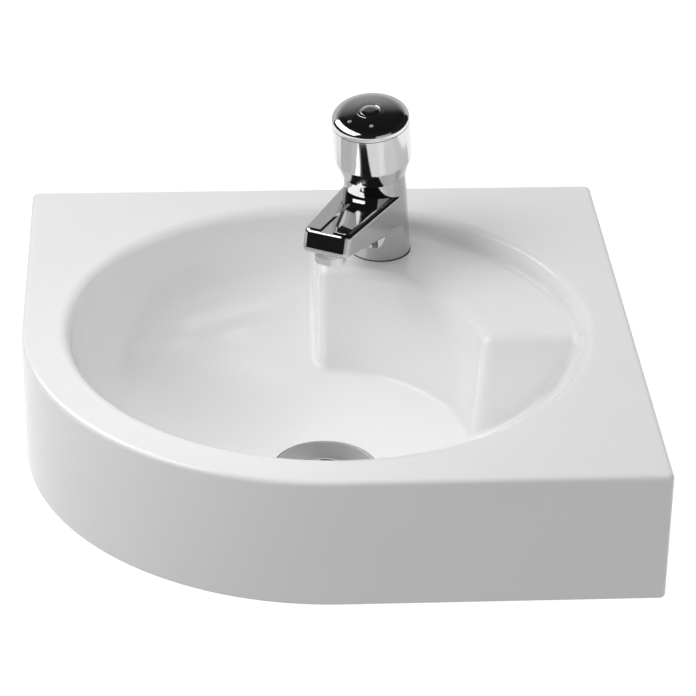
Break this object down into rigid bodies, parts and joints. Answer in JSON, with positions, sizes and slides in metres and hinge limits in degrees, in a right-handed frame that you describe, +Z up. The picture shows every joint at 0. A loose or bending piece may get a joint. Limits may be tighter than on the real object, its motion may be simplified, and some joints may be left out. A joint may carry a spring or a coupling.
{
  "type": "corner washbasin with tap and waste",
  "caption": "Ceramic corner basin with round bowl, sunken tap ledge, leaning press-knob mixer tap and open strainer waste.",
  "frame": {"origin": "the wall corner at the level of the basin's deck", "axes": "+Z up, +Y towards the back wall, +X towards the right wall; the basin lies towards -X and -Y"},
  "size_m": [0.45, 0.45, 0.3145],
  "materials": {
    "ceramic": "gloss white glaze",
    "tap_chrome": "polished",
    "waste_chrome": "polished",
    "raw_brass": "turned, unplated",
    "plain_steel": "plain stainless",
    "dark_rubber": "matt",
    "grey_plastic": "matt",
    "mark_grey": "gloss"
  },
  "bodies": {
    "basin_and_tap": {"basin": "ceramic", "tap_body": "tap_chrome", "tap_base_seal": "dark_rubber", "fixing_shank": "raw_brass", "shank_rubber_washer": "dark_rubber", "shank_metal_washer": "plain_steel", "shank_nut": "raw_brass", "aerator_housing": "tap_chrome", "aerator_insert": "grey_plastic", "aerator_seal": "dark_rubber", "mixing_cartridge": "grey_plastic", "cartridge_o_rings": "dark_rubber", "cartridge_ring_nut": "raw_brass", "waste_flange": "waste_chrome", "waste_top_seal": "dark_rubber", "waste_body": "waste_chrome", "waste_gasket": "dark_rubber", "waste_screw": "waste_chrome"},
    "mixer": {"mixing_sleeve": "raw_brass", "return_spring": "plain_steel"},
    "knob": {"knob_stem": "plain_steel", "knob_sleeve": "tap_chrome", "knob_screw": "plain_steel", "knob_cap": "tap_chrome", "cap_plug": "tap_chrome", "index_marks": "mark_grey"}
  },
  "joints": [
    {"name": "temperature_turn", "type": "hinge", "parent": "basin_and_tap", "child": "mixer", "pos_m": [-0.17534, -0.07395, -0.0165], "axis": [-0.0881, -0.1692, 0.9816], "range_deg": [-60, 60]},
    {"name": "knob_press", "type": "slide", "parent": "mixer", "child": "knob", "axis": [0.0881, 0.1692, -0.9816], "range_m": [0, 0.0055], "stiffness_N_per_m": 3000, "springref_m": -0.004, "deforming": ["return_spring"]}
  ]
}
